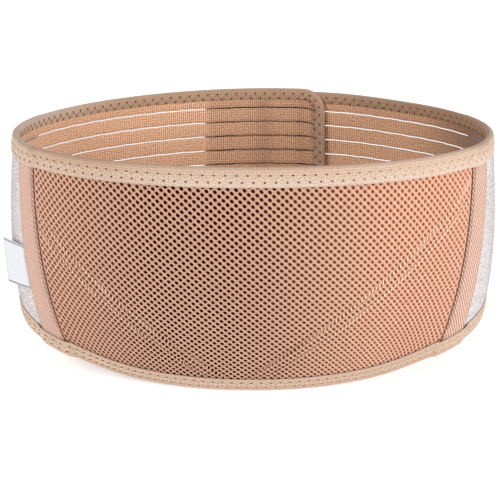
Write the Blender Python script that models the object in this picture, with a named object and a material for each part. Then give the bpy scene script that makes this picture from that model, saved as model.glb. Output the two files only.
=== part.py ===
# Maternity support belt, closed into a loop and standing on its lower edge.
#
# Units are metres, +Z is up. The belly side faces -Y, the closure at the wearer's back faces +Y.
# Left and right are as seen from the front, so left is -X.
#
# Every piece is cut flat and then wrapped round the body. A flat place has three numbers:
#   along  the way round the loop from the middle of the front, positive to the right
#   down   the way down the cloth from the upper edge
#   out    the height above the inner face of the belt
import math

import bmesh
import bpy
import numpy as np
from mathutils import Matrix, Vector

# Loop seen from above: two half ovals that meet at the widest line
WAIST_HALF_WIDTH = 0.180
FRONT_REACH = 0.140
BACK_REACH = 0.161
WIDEST_LINE_Y = -0.010
FRONT_SQUARENESS = 2.10
BACK_SQUARENESS = 1.94

# Wall: cloth from edge to edge, and how it leans
FRONT_LENGTH = 0.208
WING_HEIGHT = 0.1395
FRONT_FADE = 0.74           # share of a quarter turn over which the front grows longer
FRONT_FADE_POWER = 2.5
CURL = math.radians(42)     # lean under the belly at the lower edge of the front
CURL_POWER = 0.85
CURL_FADE = 0.74            # share of a quarter turn over which the curl fades
CURL_FADE_POWER = 3.1
FRONT_GATHER = 0.24         # how much of the curl also draws the front narrower
SIDE_FLARE = math.radians(5)
HEM_TUCK = math.radians(18)
HEM_TUCK_POWER = 2.5

# Cloth thicknesses and the gaps between neighbours, wider between sheets that are cut differently
GAP = 0.0004
SHEET_GAP = 0.0006
TAPE_GAP = 0.0009
MESH_THICKNESS = 0.0030
ELASTIC_THICKNESS = 0.0015
LOOP_THICKNESS = 0.0010
TAPE_THICKNESS = 0.0010
BINDING_THICKNESS = 0.0010

# Folded binding round every edge
BINDING_OUTER_WIDTH = 0.0150
BINDING_INNER_WIDTH = 0.0090
FLATTENED = 0.0012          # cloth this close to the ground is pressed flat on it
PRESSED = 0.0006            # how far the lowest edge is pressed in

# Seam tapes between the mesh panel and the wings
TAPE_START = 0.184
TAPE_WIDTH = 0.0215
TAPE_ON_MESH = 0.0030

# Loop landing panels behind the tapes
LOOP_PANEL_LENGTH = 0.125

# Elastic wings with rows of open ribs
LEFT_WING_PAST_BACK = 0.060
RIGHT_WING_PAST_BACK = 0.039
WING_CORNER_RADIUS = 0.018
LEFT_END_RISE = 0.0035
RISE_RUN = 0.250
OVERLAP_RAMP = 0.080
RIB_FIRST = 0.0165
RIB_PITCH = 0.0121
RIB_OPENING = 0.0012
RIB_COUNT = 9
SLIT_LENGTH = 0.085
BRIDGE = 0.0040

# V seam on the mesh panel
V_SEAM_START_LEFT = 0.046
V_SEAM_START_RIGHT = 0.021
V_SEAM_SLOPE = 0.90
V_SEAM_WIDTH = 0.0140
V_SEAM_RISE = 0.0006
V_SEAM_ABOVE_BINDING = 0.0030
V_SEAM_LEAST_WIDTH = 0.0040

# Hidden closure patch and the bare label
HOOK_START_BEFORE_BACK = 0.035
HOOK_LENGTH = 0.050
HOOK_MARGIN = 0.022
LABEL_TOP = 0.080
LABEL_HEIGHT = 0.034
LABEL_LENGTH = 0.030
LABEL_THICKNESS = 0.0008
LABEL_LIFT = 0.0060
LABEL_LIFT_POWER = 1.4

# How finely the shapes are cut into faces
PLAN_SAMPLES = 721
PROFILE_STEPS = 24
SIDE_STEP = 0.0005          # how far apart the places are that give the direction outward
COLUMNS_ROUND = 66          # shared columns of faces, at even turns of the plan
NEAREST_COLUMNS = 0.0055
STEP_RAMP = 0.0070          # run over which the binding steps up onto a thicker stack of cloth
STEP_CLEAR = 0.0010
MESH_ROWS_ABOVE = 5
MESH_ROWS_BELOW = 3
PLAIN_ROWS = 6
HOOK_ROWS = 6
LABEL_ROWS = 3
LABEL_COLUMNS = 5
END_RINGS = 8
BINDING_CORNER_TURNS = (22.5, 45, 67.5)
WING_CORNER_TURNS = (0, 35, 65)
SHARP_ANGLE = math.radians(40)

# Stacks of cloth, measured from the inner face, and the room that the binding needs at an edge
LOOP_INNER = ELASTIC_THICKNESS + SHEET_GAP
LOOP_STACK = LOOP_INNER + LOOP_THICKNESS
TAPE_INNER = max(MESH_THICKNESS, LOOP_STACK) + TAPE_GAP
TAPE_STACK = TAPE_INNER + TAPE_THICKNESS
EDGE_INSET = BINDING_THICKNESS + GAP

# Shares of the V band's width and of its rise, from its upper to its lower seam
V_BAND = [
    {"across": 0.0, "rise": 0.0},
    {"across": 0.2, "rise": 1.0},
    {"across": 0.8, "rise": 1.0},
    {"across": 1.0, "rise": 0.0},
]

# Corners of the folded strip's section that close its ends, four at a time
SECTION_ENDS = [(1, 2, 3, 4), (0, 1, 4, 5), (5, 6, 7, 0)]

MATERIALS = {
    "mesh": {"color": (0.56, 0.33, 0.25), "roughness": 0.85},
    "binding": {"color": (0.66, 0.47, 0.36), "roughness": 0.80},
    "tape": {"color": (0.58, 0.36, 0.29), "roughness": 0.85},
    "elastic": {"color": (0.60, 0.36, 0.22), "roughness": 0.75},
    "loop": {"color": (0.86, 0.84, 0.88), "roughness": 0.95},
    "hook": {"color": (0.50, 0.34, 0.26), "roughness": 0.60},
    "label": {"color": (0.90, 0.90, 0.92), "roughness": 0.70},
}


# Loop plan

def plan_point(angle):
    """Place on the loop's plan; 0 is the middle of the front, positive to the right."""
    side, fore = math.sin(angle), math.cos(angle)
    reach, squareness = (FRONT_REACH, FRONT_SQUARENESS) if fore >= 0 else (BACK_REACH, BACK_SQUARENESS)
    power = 2 / squareness
    x = math.copysign(WAIST_HALF_WIDTH * abs(side) ** power, side)
    y = WIDEST_LINE_Y - math.copysign(reach * abs(fore) ** power, fore)
    return x, y


PLAN_ANGLES = np.linspace(0, math.pi, PLAN_SAMPLES)
PLAN_POINTS = np.array([plan_point(angle) for angle in PLAN_ANGLES])
PLAN_ARCS = np.concatenate([[0], np.cumsum(np.linalg.norm(np.diff(PLAN_POINTS, axis=0), axis=1))])
HALF_ROUND = float(PLAN_ARCS[-1])


def angle_at(along):
    """Plan angle at a distance round the loop, which may run past the middle of the back."""
    distance = abs(along)
    if distance <= HALF_ROUND:
        angle = float(np.interp(distance, PLAN_ARCS, PLAN_ANGLES))
    else:
        angle = 2 * math.pi - float(np.interp(2 * HALF_ROUND - distance, PLAN_ARCS, PLAN_ANGLES))
    return math.copysign(angle, along)


def quarter_turns(along):
    """How many quarter turns from the middle of the front, 0 to 2."""
    return abs(math.remainder(angle_at(along), 2 * math.pi)) / (math.pi / 2)


def fading(turns, fade, power):
    return math.exp(-((turns / fade) ** power))


def wall_length(along):
    """Cloth from the upper to the lower edge."""
    front = fading(quarter_turns(along), FRONT_FADE, FRONT_FADE_POWER)
    return WING_HEIGHT + (FRONT_LENGTH - WING_HEIGHT) * front


# Wrapping flat cloth round the body

def smooth(share):
    share = min(max(share, 0.0), 1.0)
    return share * share * (3 - 2 * share)


def inner_face(along, down):
    """Place on the belt's inner face, with the upper edge at z = 0.

    The binding keeps the cloth straight across its own width.
    """
    angle = angle_at(along)
    front = fading(quarter_turns(along), CURL_FADE, CURL_FADE_POWER)
    length = wall_length(along)
    step = down / PROFILE_STEPS
    inward = 0.0
    drop = 0.0
    for index in range(PROFILE_STEPS):
        bent = min(max((index + 0.5) * step, BINDING_OUTER_WIDTH), length - BINDING_OUTER_WIDTH)
        share = bent / length
        lean = CURL * share ** CURL_POWER * front
        lean += (HEM_TUCK * share ** HEM_TUCK_POWER - SIDE_FLARE) * (1 - front)
        inward += math.sin(lean) * step
        drop += math.cos(lean) * step
    gather = FRONT_GATHER + (1 - FRONT_GATHER) * (1 - front)
    direction = Vector((-gather * math.sin(angle), math.cos(angle), 0)).normalized()
    x, y = plan_point(angle)
    return Vector((x, y, -drop)) + direction * inward


def outward(along, down):
    """Direction that faces away from the body."""
    sideways = inner_face(along + SIDE_STEP, down) - inner_face(along - SIDE_STEP, down)
    downward = inner_face(along, down + SIDE_STEP) - inner_face(along, down - SIDE_STEP)
    return downward.cross(sideways).normalized()


def end_rise(along):
    """The left end is fastened a little higher than the right one."""
    if along > 0:
        return 0.0
    end = HALF_ROUND + LEFT_WING_PAST_BACK
    return LEFT_END_RISE * smooth(1 - (end + along) / RISE_RUN)


def overlap_lift(along):
    """The right wing steps out over the left one, clear of its binding."""
    start = HALF_ROUND - LEFT_WING_PAST_BACK
    lift = ELASTIC_THICKNESS + 2 * (BINDING_THICKNESS + GAP) + GAP
    return lift * smooth(1 + (along - start + EDGE_INSET) / OVERLAP_RAMP)


def leaned(point):
    """The loop leans back until it stands on the front and the back of its lower edge."""
    return LEAN @ point


def wrap(along, down, out):
    down -= end_rise(along)
    out += overlap_lift(along)
    return leaned(inner_face(along, down) + outward(along, down) * out)


def lean_matrix():
    front = inner_face(0, wall_length(0))
    back = inner_face(HALF_ROUND, wall_length(HALF_ROUND))
    return Matrix.Rotation(-math.atan2(back.z - front.z, back.y - front.y), 3, "X")


LEAN = lean_matrix()


# Flat layout

def columns(start, end, extra=()):
    """Column places from start to end, shared by all pieces so that their faces stay parallel."""
    ramps = [step["along"] for step in stack_steps()[1:]]
    marks = [*extra, *ramps, *mirrored(ramps)]
    fixed = sorted({start, end, *[place for place in marks if start < place < end]})
    shared = [shared_column(index) for index in range(-COLUMNS_ROUND, COLUMNS_ROUND + 1)]
    kept = [
        place for place in shared
        if start < place < end and all(abs(place - other) > NEAREST_COLUMNS for other in fixed)
    ]
    return sorted(fixed + kept)


def shared_column(index):
    """Distance round the loop of a column that lies at a whole number of even turns."""
    turn = 2 * math.pi * abs(index) / COLUMNS_ROUND
    if turn <= math.pi:
        distance = float(np.interp(turn, PLAN_ANGLES, PLAN_ARCS))
    else:
        distance = 2 * HALF_ROUND - float(np.interp(2 * math.pi - turn, PLAN_ANGLES, PLAN_ARCS))
    return math.copysign(distance, index)


def spread(start, end, count):
    """Even steps from start to end, without the last."""
    return [start + (end - start) * index / count for index in range(count)]


def mirrored(places):
    return [-place for place in reversed(places)]


def tape_end():
    return TAPE_START + TAPE_WIDTH


def joint_place():
    """Where the mesh panel and a wing meet, under the tape."""
    return TAPE_START + TAPE_ON_MESH


def loop_panel_end():
    return joint_place() + LOOP_PANEL_LENGTH


def binding_joint():
    """Where the front bindings meet those of the wings, just behind the tape."""
    return tape_end() + STEP_CLEAR


def stack_steps():
    """Top of the cloth under the binding, from the middle of the front to a wing's end."""
    return [
        {"along": 0.0, "top": MESH_THICKNESS},
        {"along": TAPE_START - STEP_RAMP, "top": MESH_THICKNESS},
        {"along": TAPE_START - STEP_CLEAR, "top": TAPE_STACK},
        {"along": binding_joint(), "top": TAPE_STACK},
        {"along": tape_end() + STEP_RAMP, "top": LOOP_STACK},
        {"along": loop_panel_end() + STEP_CLEAR, "top": LOOP_STACK},
        {"along": loop_panel_end() + STEP_RAMP, "top": ELASTIC_THICKNESS},
    ]


def stack_top(along):
    steps = stack_steps()
    return float(np.interp(abs(along), [s["along"] for s in steps], [s["top"] for s in steps]))


# Building

def new_collection(name):
    collection = bpy.data.collections.new(name)
    bpy.context.scene.collection.children.link(collection)
    return collection


def make_material(name):
    values = MATERIALS[name]
    material = bpy.data.materials.new(name)
    material.use_nodes = True
    shader = material.node_tree.nodes["Principled BSDF"]
    shader.inputs["Base Color"].default_value = (*values["color"], 1)
    shader.inputs["Roughness"].default_value = values["roughness"]
    shader.inputs["Metallic"].default_value = 0
    return material


def add_object(name, bm, material):
    bmesh.ops.recalc_face_normals(bm, faces=bm.faces[:])
    if bm.calc_volume(signed=True) < 0:
        bmesh.ops.reverse_faces(bm, faces=bm.faces[:])
    mesh = bpy.data.meshes.new(name)
    bm.to_mesh(mesh)
    bm.free()
    mesh.shade_smooth()
    mesh.set_sharp_from_angle(angle=SHARP_ANGLE)
    mesh.materials.append(material)
    obj = bpy.data.objects.new(name, mesh)
    PARTS.objects.link(obj)
    return obj


def cut_and_wrap(name, material, places, rows_at, inner_at, outer_at, is_open=None):
    """A flat sheet of cloth, cut out, given its thickness and wrapped round the body.

    rows_at(along) gives the heights of the rows; inner_at and outer_at(along, row) give its faces.
    is_open(column, row) says which faces of the sheet are cut out.
    """
    table = [rows_at(along) for along in places]
    bm = bmesh.new()
    bmesh.ops.create_grid(bm, x_segments=len(places) - 1, y_segments=len(table[0]) - 1, size=0.5)
    scale = (len(places) - 1, len(table[0]) - 1, 1)
    bmesh.ops.translate(bm, verts=bm.verts[:], vec=(0.5, 0.5, 0))
    bmesh.ops.scale(bm, verts=bm.verts[:], vec=scale)
    if is_open:
        cut = [
            face for face in bm.faces
            if is_open(int(face.calc_center_median().x), int(face.calc_center_median().y))
        ]
        bmesh.ops.delete(bm, geom=cut, context="FACES")
    bmesh.ops.solidify(bm, geom=bm.faces[:], thickness=1)
    for face in list(bm.faces):
        ends = sorted(face.verts, key=lambda vertex: vertex.co.x + vertex.co.y)
        if abs(face.normal.z) > 0.5:
            bmesh.utils.face_split(face, ends[0], ends[-1])
    for vertex in bm.verts:
        column = round(vertex.co.x)
        row = round(vertex.co.y)
        along = places[column]
        face_at = outer_at if abs(vertex.co.z) > 0.5 else inner_at
        vertex.co = wrap(along, table[column][row], face_at(along, row))
    return add_object(name, bm, material)


def loft(name, material, sections):
    """A folded strip through its sections, closed at both ends.

    Sections that follow the edge clockwise, seen from outside, give its faces the same diagonals as
    those of the cloth that it lies on.
    """
    bm = bmesh.new()
    rings = [[bm.verts.new(corner["point"]) for corner in section] for section in sections]
    depth = [corner["into"] for corner in sections[0]]
    for ring, following in zip(rings, rings[1:]):
        for corner in range(len(ring)):
            other = (corner + 1) % len(ring)
            shallow, deep = (corner, other) if depth[corner] <= depth[other] else (other, corner)
            bm.faces.new((ring[shallow], ring[deep], following[deep]))
            bm.faces.new((ring[shallow], following[deep], following[shallow]))
    for ring in (rings[0], rings[-1]):
        for part_of_end in SECTION_ENDS:
            bm.faces.new([ring[corner] for corner in part_of_end])
    return add_object(name, bm, material)


# Pieces

def v_seam(along):
    """Height of the V's upper seam; it levels out just above the lower binding."""
    start = V_SEAM_START_RIGHT if along > 0 else V_SEAM_START_LEFT
    if along == 0:
        start = max(V_SEAM_START_LEFT, V_SEAM_START_RIGHT)
    height = start + V_SEAM_SLOPE * (TAPE_START - abs(along))
    return min(height, v_seam_floor(along) - V_SEAM_LEAST_WIDTH)


def v_seam_floor(along):
    return wall_length(along) - BINDING_OUTER_WIDTH - V_SEAM_ABOVE_BINDING


def make_front_mesh_panel():
    end = joint_place() - GAP / 2
    band_first = MESH_ROWS_ABOVE

    def rows_at(along):
        upper = v_seam(along)
        lower = min(upper + V_SEAM_WIDTH, v_seam_floor(along))
        band = [upper + (lower - upper) * row["across"] for row in V_BAND]
        above = [EDGE_INSET] + spread(BINDING_OUTER_WIDTH, upper, MESH_ROWS_ABOVE - 1)
        bound = wall_length(along) - BINDING_OUTER_WIDTH
        below = spread(lower, bound, MESH_ROWS_BELOW)[1:]
        return above + band + below + [bound, wall_length(along) - EDGE_INSET]

    def outer_at(along, row):
        if not band_first <= row < band_first + len(V_BAND):
            return MESH_THICKNESS
        clear_of_tape = smooth((TAPE_START - STEP_RAMP - abs(along)) / STEP_RAMP)
        return MESH_THICKNESS + V_SEAM_RISE * V_BAND[row - band_first]["rise"] * clear_of_tape

    places = columns(-end, end)
    cut_and_wrap("front_mesh_panel", make_material("mesh"), places, rows_at, lambda a, r: 0.0, outer_at)


def make_seam_tapes():
    material = make_material("tape")
    places = columns(TAPE_START, tape_end())
    for name, side_places in (("right_seam_tape", places), ("left_seam_tape", mirrored(places))):
        cut_and_wrap(name, material, side_places, plain_rows, lambda a, r: TAPE_INNER, lambda a, r: TAPE_STACK)


def plain_rows(along):
    bound = wall_length(along) - BINDING_OUTER_WIDTH
    free = spread(BINDING_OUTER_WIDTH, bound, PLAIN_ROWS)
    return [EDGE_INSET] + free + [bound, wall_length(along) - EDGE_INSET]


def make_loop_panels():
    material = make_material("loop")
    places = columns(joint_place() + GAP / 2, loop_panel_end(), bridge_edges())
    for name, side_places in (("right_loop_panel", places), ("left_loop_panel", mirrored(places))):
        cut_and_wrap(name, material, side_places, plain_rows, lambda a, r: LOOP_INNER, lambda a, r: LOOP_STACK)


def bridge_places():
    """Where the bridges between one slit and the next begin, on either wing."""
    start = joint_place() + GAP / 2
    run = HALF_ROUND + min(LEFT_WING_PAST_BACK, RIGHT_WING_PAST_BACK) - WING_CORNER_RADIUS - BRIDGE - start
    slits = max(1, round((run - BRIDGE) / (SLIT_LENGTH + BRIDGE)))
    return [start + (run - BRIDGE) * index / slits for index in range(slits + 1)]


def bridge_edges():
    return [place + edge for place in bridge_places() for edge in (0, BRIDGE)]


def wing_columns(end):
    """Columns of a wing, with the edges of its bridges and its rounded end."""
    corner = WING_CORNER_RADIUS - EDGE_INSET
    tip = end - EDGE_INSET
    rounds = [tip - corner * (1 - math.sin(math.radians(turn))) for turn in WING_CORNER_TURNS]
    return columns(joint_place() + GAP / 2, tip, bridge_edges() + rounds)


def make_wing(name, material, side, past_back):
    end = HALF_ROUND + past_back
    corner = WING_CORNER_RADIUS - EDGE_INSET
    places = wing_columns(end)
    bridges = bridge_places()

    def corner_inset(along):
        into = abs(along) - (end - WING_CORNER_RADIUS)
        if into <= 0:
            return EDGE_INSET
        return EDGE_INSET + corner - math.sqrt(max(corner ** 2 - into ** 2, 0))

    def rows_at(along):
        height = wall_length(along)
        inset = corner_inset(along)
        ribs = [RIB_FIRST + RIB_PITCH * index for index in range(RIB_COUNT)]
        edges = [rib + RIB_OPENING * half for rib in ribs for half in (-0.5, 0.5)]
        bound = height - BINDING_OUTER_WIDTH
        full = [EDGE_INSET] + edges + [bound, height - EDGE_INSET]
        squeeze = (height - 2 * inset) / (height - 2 * EDGE_INSET)
        return [inset + (row - EDGE_INSET) * squeeze for row in full]

    def is_open(column, row):
        middle = (side_places[column] + side_places[column + 1]) / 2 * side
        in_slits = bridges[0] < middle < bridges[-1]
        on_bridge = any(bridge < middle < bridge + BRIDGE for bridge in bridges)
        return row % 2 == 1 and row < 2 * RIB_COUNT and in_slits and not on_bridge

    side_places = places if side > 0 else mirrored(places)
    inner_at = lambda a, r: 0.0
    outer_at = lambda a, r: ELASTIC_THICKNESS
    cut_and_wrap(name, material, side_places, rows_at, inner_at, outer_at, is_open)


def make_wings():
    material = make_material("elastic")
    make_wing("right_elastic_wing", material, 1, RIGHT_WING_PAST_BACK)
    make_wing("left_elastic_wing", material, -1, LEFT_WING_PAST_BACK)


def upper_edge(run):
    return [{"along": along, "down": 0.0, "into": (0, 1)} for along in run]


def lower_edge(run):
    return [{"along": along, "down": wall_length(along), "into": (0, -1)} for along in run]


def wing_edge(side, past_back):
    """Places round a wing's edge, each with the direction that points into the cloth."""
    radius = WING_CORNER_RADIUS
    end = HALF_ROUND + past_back
    height = wall_length(end)
    run = columns(binding_joint() + GAP / 2, end - radius)
    if side < 0:
        run = [-along for along in run]

    def corner(centre_down, first_turn):
        places = []
        for turn in BINDING_CORNER_TURNS:
            across, up = math.cos(math.radians(first_turn + turn)), math.sin(math.radians(first_turn + turn))
            places.append({
                "along": side * (end - radius + radius * across),
                "down": centre_down + radius * up,
                "into": (-side * across, -up),
            })
        return places

    top, bottom = radius, height - radius
    tip = [
        {"along": side * end, "down": down, "into": (-side, 0)}
        for down in spread(top, bottom, END_RINGS) + [bottom]
    ]
    return upper_edge(run) + corner(top, -90) + tip + corner(bottom, 0) + lower_edge(run[::-1])


def binding_section(place):
    """A folded strip: an outer leg, the fold over the edge, and an inner leg."""
    inner_leg = -GAP
    outer_leg = stack_top(place["along"]) + GAP
    inside = inner_leg - BINDING_THICKNESS
    outside = outer_leg + BINDING_THICKNESS
    outline = [
        (0, inside),
        (0, outside),
        (BINDING_OUTER_WIDTH, outside),
        (BINDING_OUTER_WIDTH, outer_leg),
        (BINDING_THICKNESS, outer_leg),
        (BINDING_THICKNESS, inner_leg),
        (BINDING_INNER_WIDTH, inner_leg),
        (BINDING_INNER_WIDTH, inside),
    ]
    section = []
    for into, out in outline:
        along = place["along"] + place["into"][0] * into
        down = place["down"] + place["into"][1] * into
        section.append({"into": into, "point": wrap(along, down, out)})
    return section


def flatten_fold(sections):
    """Press the fold flat where it stands on the ground, and return the ground's height."""
    fold = [corner["point"] for section in sections for corner in section if corner["into"] == 0]
    ground = min(point.z for point in fold) + PRESSED
    for point in fold:
        if point.z < ground + FLATTENED:
            point.z = ground
    return ground


def make_bindings():
    """One folded strip for each edge of the front, and one round each wing."""
    end = binding_joint() - GAP / 2
    front = columns(-end, end)
    edges = {
        "front_top_binding": upper_edge(front),
        "front_bottom_binding": lower_edge(front[::-1]),
        "left_wing_binding": wing_edge(-1, LEFT_WING_PAST_BACK)[::-1],
        "right_wing_binding": wing_edge(1, RIGHT_WING_PAST_BACK),
    }
    strips = {name: [binding_section(place) for place in edge] for name, edge in edges.items()}
    ground = flatten_fold([section for strip in strips.values() for section in strip])
    material = make_material("binding")
    for name, strip in strips.items():
        loft(name, material, strip)
    return ground


def make_hook_patch():
    start = HALF_ROUND - HOOK_START_BEFORE_BACK
    # The patch is measured back from the right wing, which is already lifted here
    lift = overlap_lift(start)

    def rows_at(along):
        bottom = wall_length(along) - HOOK_MARGIN
        return spread(HOOK_MARGIN, bottom, HOOK_ROWS) + [bottom]

    places = columns(start, start + HOOK_LENGTH)
    inner_at = lambda a, r: ELASTIC_THICKNESS + SHEET_GAP - lift
    outer_at = lambda a, r: -SHEET_GAP
    cut_and_wrap("hook_patch", make_material("hook"), places, rows_at, inner_at, outer_at)


def make_side_label():
    """A small bare label, sewn in under the left tape's rear edge and standing off the side."""
    root = -(tape_end() + GAP)
    bottom = LABEL_TOP + LABEL_HEIGHT

    def rows_at(along):
        return spread(LABEL_TOP, bottom, LABEL_ROWS) + [bottom]

    def inner_at(along, row):
        share = (root - along) / LABEL_LENGTH
        return TAPE_INNER + LABEL_LIFT * share ** LABEL_LIFT_POWER

    places = spread(root - LABEL_LENGTH, root, LABEL_COLUMNS) + [root]
    outer_at = lambda a, r: inner_at(a, r) + LABEL_THICKNESS
    cut_and_wrap("side_label", make_material("label"), places, rows_at, inner_at, outer_at)


def stand_on_origin(ground):
    """Bring the middle of the standing belt's footprint box to the origin."""
    corners = [vertex.co for obj in PARTS.objects for vertex in obj.data.vertices]
    middle_x = (min(point.x for point in corners) + max(point.x for point in corners)) / 2
    middle_y = (min(point.y for point in corners) + max(point.y for point in corners)) / 2
    for obj in PARTS.objects:
        obj.location = (-middle_x, -middle_y, -ground)


for old in list(bpy.data.objects):
    bpy.data.objects.remove(old)

PARTS = new_collection("maternity_support_belt")
make_front_mesh_panel()
make_wings()
make_loop_panels()
make_seam_tapes()
ground_height = make_bindings()
make_hook_patch()
make_side_label()
stand_on_origin(ground_height)
bpy.context.view_layer.update()
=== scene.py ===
import math

import bpy
import numpy as np
from mathutils import Matrix, Vector


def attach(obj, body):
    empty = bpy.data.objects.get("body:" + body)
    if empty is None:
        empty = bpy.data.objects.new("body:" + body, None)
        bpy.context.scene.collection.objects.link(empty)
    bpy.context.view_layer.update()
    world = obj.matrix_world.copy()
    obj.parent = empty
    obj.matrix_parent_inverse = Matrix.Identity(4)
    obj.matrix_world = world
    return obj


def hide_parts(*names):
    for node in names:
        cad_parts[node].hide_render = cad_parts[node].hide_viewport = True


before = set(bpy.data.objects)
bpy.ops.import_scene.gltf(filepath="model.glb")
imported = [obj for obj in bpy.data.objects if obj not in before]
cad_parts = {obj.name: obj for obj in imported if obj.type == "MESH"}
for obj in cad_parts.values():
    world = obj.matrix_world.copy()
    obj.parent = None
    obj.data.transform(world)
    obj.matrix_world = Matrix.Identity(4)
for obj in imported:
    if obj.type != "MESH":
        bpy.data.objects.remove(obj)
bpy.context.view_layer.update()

# Loop, wall and lean of the CAD solids
WAIST_HALF_WIDTH = 0.180
FRONT_REACH = 0.140
BACK_REACH = 0.161
WIDEST_LINE_Y = -0.010
FRONT_SQUARENESS = 2.10
BACK_SQUARENESS = 1.94
FRONT_LENGTH = 0.208
WING_HEIGHT = 0.1395
FRONT_FADE = 0.74
FRONT_FADE_POWER = 2.5
CURL = math.radians(42)
CURL_POWER = 0.85
CURL_FADE = 0.74
CURL_FADE_POWER = 3.1
FRONT_GATHER = 0.24
SIDE_FLARE = math.radians(5)
HEM_TUCK = math.radians(18)
HEM_TUCK_POWER = 2.5
PROFILE_STEPS = 24
GROUND_SHIFT = Vector((0.002316, -0.000611, 0.170375))
FLOOR_GAP = 0.0002

# Cloths and the gaps between them
GAP = 0.0004
SHEET_GAP = 0.0006
TAPE_GAP = 0.0009
MESH_THICKNESS = 0.0030
ELASTIC_THICKNESS = 0.0015
LOOP_THICKNESS = 0.0010
TAPE_THICKNESS = 0.0010
BINDING_THICKNESS = 0.0010
BINDING_OUTER_WIDTH = 0.0150
BINDING_INNER_WIDTH = 0.0090
EDGE_INSET = BINDING_THICKNESS + GAP
LOOP_INNER = ELASTIC_THICKNESS + SHEET_GAP
LOOP_STACK = LOOP_INNER + LOOP_THICKNESS
TAPE_INNER = max(MESH_THICKNESS, LOOP_STACK) + TAPE_GAP
TAPE_STACK = TAPE_INNER + TAPE_THICKNESS
STEP_RAMP = 0.0070
STEP_CLEAR = 0.0010

# Places round the loop
TAPE_START = 0.184
TAPE_WIDTH = 0.0215
TAPE_END = TAPE_START + TAPE_WIDTH
JOINT = TAPE_START + 0.0030
LOOP_PANEL_END = JOINT + 0.125
LEFT_WING_PAST_BACK = 0.060
RIGHT_WING_PAST_BACK = 0.039
CORNER_RADIUS = 0.018
LEFT_END_RISE = 0.0035
RISE_RUN = 0.250
OVERLAP_RAMP = 0.080
RIB_FIRST = 0.0165
RIB_PITCH = 0.0121
RIB_COUNT = 9
V_SEAM_START_LEFT = 0.046
V_SEAM_START_RIGHT = 0.021
V_SEAM_SLOPE = 0.90
V_SEAM_WIDTH = 0.0140
V_SEAM_RISE = 0.0006
LABEL_TOP = 0.080
LABEL_HEIGHT = 0.034
LABEL_LENGTH = 0.030
LABEL_THICKNESS = 0.0008
LABEL_LIFT = 0.0060

# Slits of the open ribs: finer here than in the solids, a little wavy, and wider over the loop panels
RIB_OPENING = 0.0007
RIB_WOBBLE = 0.00014
RIB_WIDENING = 0.00030
RIB_WIDENING_RAMP = 0.006
RIB_THREAD = 0.00013
RIB_THREAD_PITCH = 0.0026

# Oval holes of the mesh, lying along the diagonal of a slanted centred lattice
HOLE_PITCH_ALONG = 0.00602
HOLE_PITCH_DOWN = 0.00589
HOLE_SLANT = 0.075
HOLE_HALF_LENGTH = 0.00178
HOLE_HALF_WIDTH = 0.00136
HOLE_NARROWING = 0.84
HOLE_LIP = 0.00045
HOLE_FLOOR = 0.0009

# Threads
THREAD = 0.00034
TAPE_THREAD = 0.00056
THREAD_FLATNESS = 0.45
V_THREAD = 0.00042
V_STITCH_PITCH = 0.0014
V_STITCH_REACH = 0.0011
BINDING_ROW_NEAR = 0.0061
BINDING_ROW_FAR = 0.0104
INNER_ROW_NEAR = 0.0044
INNER_ROW_FAR = 0.0076
BINDING_PITCH = 0.0080
BINDING_FOLD = 0.0026
PINHOLE = 0.00090
PINHOLE_SIDES = 6
LOOPS_A_PANEL = 15000

# Painted shade by place, and painted light where the strength is negative: where along the loop each
# starts, how far it runs (leftwards if negative) and how strong it gets
SHADES = {
    "mesh_right": (-0.025, 0.150, -0.92),
    "mesh_left": (-0.060, -0.100, -0.50),
    "wing_right_front": (0.395, -0.095, 0.62),
    "binding_left_front": (-0.040, -0.090, 0.32),
    "binding_left_back": (-0.420, 0.100, -0.60),
    "binding_right_back": (0.400, -0.080, 0.23),
    "v_left": (-0.140, 0.100, 0.60),
    "v_right": (0.100, -0.080, 0.85),
    "pinholes": (0.125, -0.090, 1.0),
}

# Painted shade that doesn't depend on a place along the loop
MESH_RIGHT_PAINTED_SHADE = 0.08
OVERLAP_PAINTED_SHADE = 0.21
OVERLAP_EDGE = 0.004
MARK_TONE = 0.16
V_LEFT_PAINTED_SHADE = 0.25
BINDING_PAINTED_SHADE = 0.05
BINDING_INSIDE_PAINTED_SHADE = 0.72
BINDING_BOTTOM_PAINTED_SHADE = 0.36
BINDING_BOTTOM_INSIDE_PAINTED_SHADE = 0.30

# Faint darker bands across the left wing: distance past the back's middle, half width and weight
WING_MARKS = [(-0.0093, 0.007, 1.0), (-0.040, 0.004, 0.8), (-0.051, 0.004, 0.9)]

# Camera, as it stands to the belt before the belt leans back
CAMERA_DISTANCE = 1.9
CAMERA_ELEVATION = 0.2424
CAMERA_TARGET = Vector((0, 0, -0.0983))
FOCAL_SHARE = 4.858
CAMERA_SHIFT = -0.0059
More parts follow.
